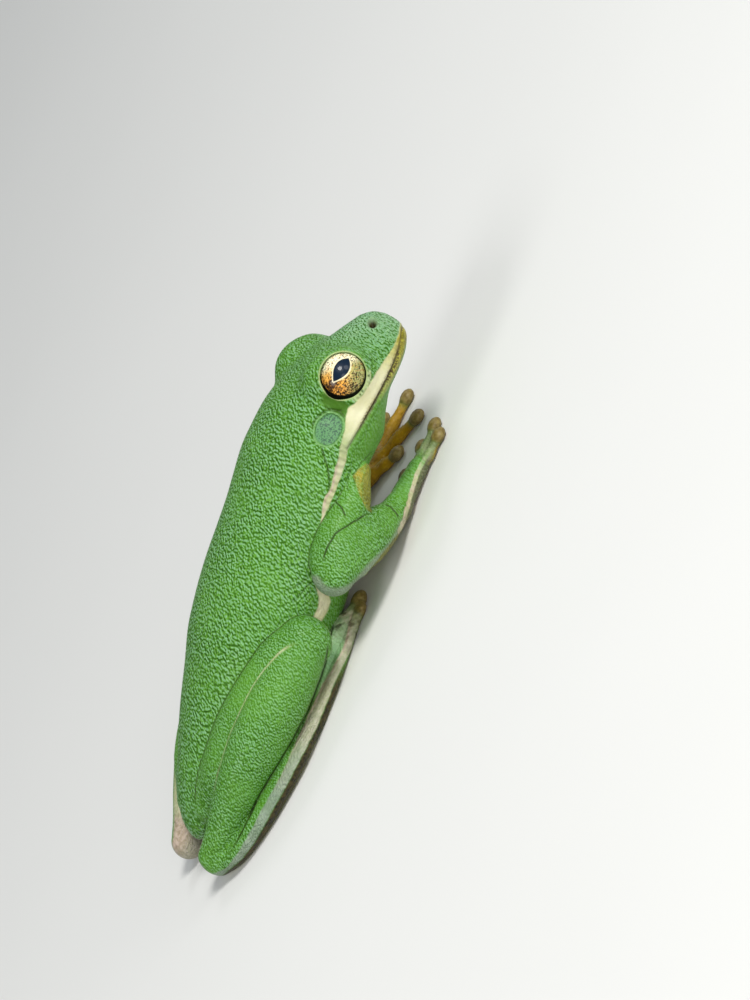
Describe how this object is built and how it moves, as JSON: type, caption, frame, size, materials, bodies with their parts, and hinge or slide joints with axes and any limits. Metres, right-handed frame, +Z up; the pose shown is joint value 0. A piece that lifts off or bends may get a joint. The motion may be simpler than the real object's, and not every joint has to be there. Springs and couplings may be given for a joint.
{
  "type": "tree frog",
  "caption": "Slender green tree frog resting on its belly, hind legs folded along its sides, hands spread on the ground under a raised head, disc-tipped fingers and toes.",
  "frame": {"origin": "on the floor, under the middle of the box round the whole frog", "axes": "+X from the heels towards the snout, +Y towards the frog's left side, +Z up from the floor"},
  "size_m": [0.0536, 0.027, 0.0158],
  "materials": {
    "skin_green": "moist, finely grained skin, green above and cream below",
    "iris_gold": "wet, glossy eye with a golden iris and a black level pupil"
  },
  "bodies": {
    "root": {"head": "skin_green", "torso": "skin_green", "eye_right": "iris_gold", "eye_left": "iris_gold", "upper_arm_right": "skin_green", "forearm_right": "skin_green", "hand_right": "skin_green", "upper_arm_left": "skin_green", "forearm_left": "skin_green", "hand_left": "skin_green", "thigh_right": "skin_green", "shank_right": "skin_green", "tarsus_right": "skin_green", "foot_right": "skin_green", "thigh_left": "skin_green", "shank_left": "skin_green", "tarsus_left": "skin_green", "foot_left": "skin_green"}
  },
  "joints": []
}
